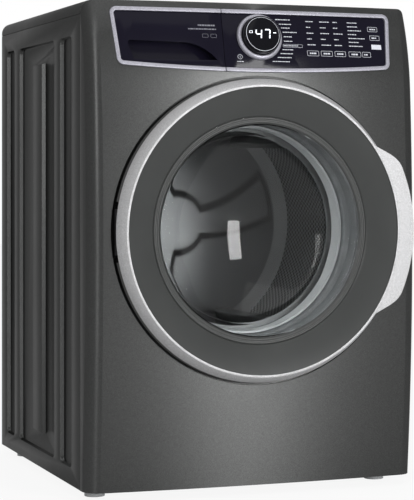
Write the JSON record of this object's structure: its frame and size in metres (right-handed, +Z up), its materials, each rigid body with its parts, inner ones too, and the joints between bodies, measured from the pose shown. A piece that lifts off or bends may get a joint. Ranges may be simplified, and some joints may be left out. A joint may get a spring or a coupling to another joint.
{
  "type": "front load washing machine",
  "caption": "Front load washing machine: crowned dark cabinet, round glass door in a bright ring, console with turning dial, dispenser drawer, sprung tub and belt driven drum.",
  "frame": {"origin": "on the floor under the middle of the overall box", "axes": "+X to the right as seen from the front, +Y backwards, +Z up; the door faces -Y"},
  "size_m": [0.686, 0.805, 0.965],
  "materials": {
    "body_paint": "satin",
    "zinc_steel": "satin",
    "dark_console": "gloss",
    "bright_trim": "polished",
    "dark_funnel": "gloss",
    "door_glass": "gloss",
    "display": "gloss",
    "soft_rubber": "matte",
    "black_rubber": "matte",
    "grey_plastic": "matte",
    "white_plastic": "satin",
    "black_plastic": "matte",
    "green_board": "matte",
    "concrete": "matte",
    "stainless": "satin",
    "cast_metal": "satin",
    "plain_steel": "satin"
  },
  "bodies": {
    "cabinet": {"base_frame": "zinc_steel", "side_panel_left": "body_paint", "side_panel_right": "body_paint", "rear_panel": "zinc_steel", "rear_cover": "zinc_steel", "rear_screws": "plain_steel", "top_panel": "body_paint", "front_panel": "body_paint", "spring_brace": "zinc_steel", "console_trim": "bright_trim", "control_fascia": "dark_console", "display_lens": "display", "control_board": "green_board", "dispenser_housing": "white_plastic", "inlet_valve": "white_plastic", "fill_hoses": "black_rubber", "drain_pump": "black_plastic", "drain_outlet": "black_plastic", "drain_pipe": "black_rubber", "cord_gland": "black_plastic", "door_lock": "white_plastic", "hinge_bracket": "plain_steel", "hinge_pin": "plain_steel", "damper_cylinders": "black_plastic", "door_gasket": "soft_rubber", "dispenser_hose": "black_rubber", "sump_hose": "black_rubber", "suspension_springs": "plain_steel"},
    "door": {"door_ring": "bright_trim", "door_trim": "dark_funnel", "door_glass": "door_glass", "door_inner_frame": "black_plastic", "hinge_leaf": "plain_steel"},
    "latch": {"latch_hook": "plain_steel"},
    "dial": {"cycle_dial": "bright_trim"},
    "drawer": {"drawer_front": "dark_console", "drawer_trim": "bright_trim", "drawer_tray": "white_plastic", "siphon_cap": "white_plastic"},
    "tub": {"tub_front": "grey_plastic", "tub_rear": "grey_plastic", "front_counterweight": "concrete", "top_counterweight": "concrete", "motor": "cast_metal", "drive_belt": "black_rubber", "drum_bearings": "plain_steel", "heater": "stainless", "damper_rods": "plain_steel"},
    "drum": {"drum_barrel": "stainless", "drum_front": "stainless", "drum_back": "stainless", "drum_lifters": "white_plastic", "drum_spider": "cast_metal", "drum_pulley": "cast_metal"},
    "motor_rotor": {"motor_pulley": "plain_steel"},
    "foot_front_left": {"foot_front_left": "black_rubber"},
    "foot_front_right": {"foot_front_right": "black_rubber"},
    "foot_rear_left": {"foot_rear_left": "black_rubber"},
    "foot_rear_right": {"foot_rear_right": "black_rubber"}
  },
  "joints": [
    {"name": "door_swing", "type": "hinge", "parent": "cabinet", "child": "door", "pos_m": [-0.292, -0.3675, 0.519], "axis": [0, 0, -1], "range_deg": [0, 110]},
    {"name": "latch_turn", "type": "hinge", "parent": "door", "child": "latch", "pos_m": [0.262, -0.358, 0.519], "axis": [0, 0, 1], "range_deg": [0, 10], "stiffness_Nm_per_rad": 0.5},
    {"name": "drawer_slide", "type": "slide", "parent": "cabinet", "child": "drawer", "axis": [0, -1, 0], "range_m": [0, 0.17]},
    {"name": "dial_turn", "type": "hinge", "parent": "cabinet", "child": "dial", "pos_m": [0.006, -0.34338, 0.897], "axis": [0, -0.969, 0.2469], "continuous": true},
    {"name": "tub_float", "type": "slide", "parent": "cabinet", "child": "tub", "axis": [0, 0, 1], "range_m": [-0.01, 0.01], "stiffness_N_per_m": 14000, "springref_m": 0.0279, "deforming": ["suspension_springs", "dispenser_hose", "sump_hose", "door_gasket"]},
    {"name": "drum_spin", "type": "hinge", "parent": "tub", "child": "drum", "pos_m": [0, 0.1775, 0.519], "axis": [0, 1, 0], "continuous": true},
    {"name": "motor_spin", "type": "hinge", "parent": "tub", "child": "motor_rotor", "pos_m": [0, 0.2825, 0.173], "axis": [0, 1, 0], "continuous": true},
    {"name": "foot_front_left_screw", "type": "slide", "parent": "cabinet", "child": "foot_front_left", "axis": [0, 0, -1], "range_m": [0, 0.02]},
    {"name": "foot_front_right_screw", "type": "slide", "parent": "cabinet", "child": "foot_front_right", "axis": [0, 0, -1], "range_m": [0, 0.02]},
    {"name": "foot_rear_left_screw", "type": "slide", "parent": "cabinet", "child": "foot_rear_left", "axis": [0, 0, -1], "range_m": [0, 0.02]},
    {"name": "foot_rear_right_screw", "type": "slide", "parent": "cabinet", "child": "foot_rear_right", "axis": [0, 0, -1], "range_m": [0, 0.02]}
  ],
  "couplings": [
    {"joint": "motor_spin", "follows": "drum_spin", "ratio": 12}
  ]
}
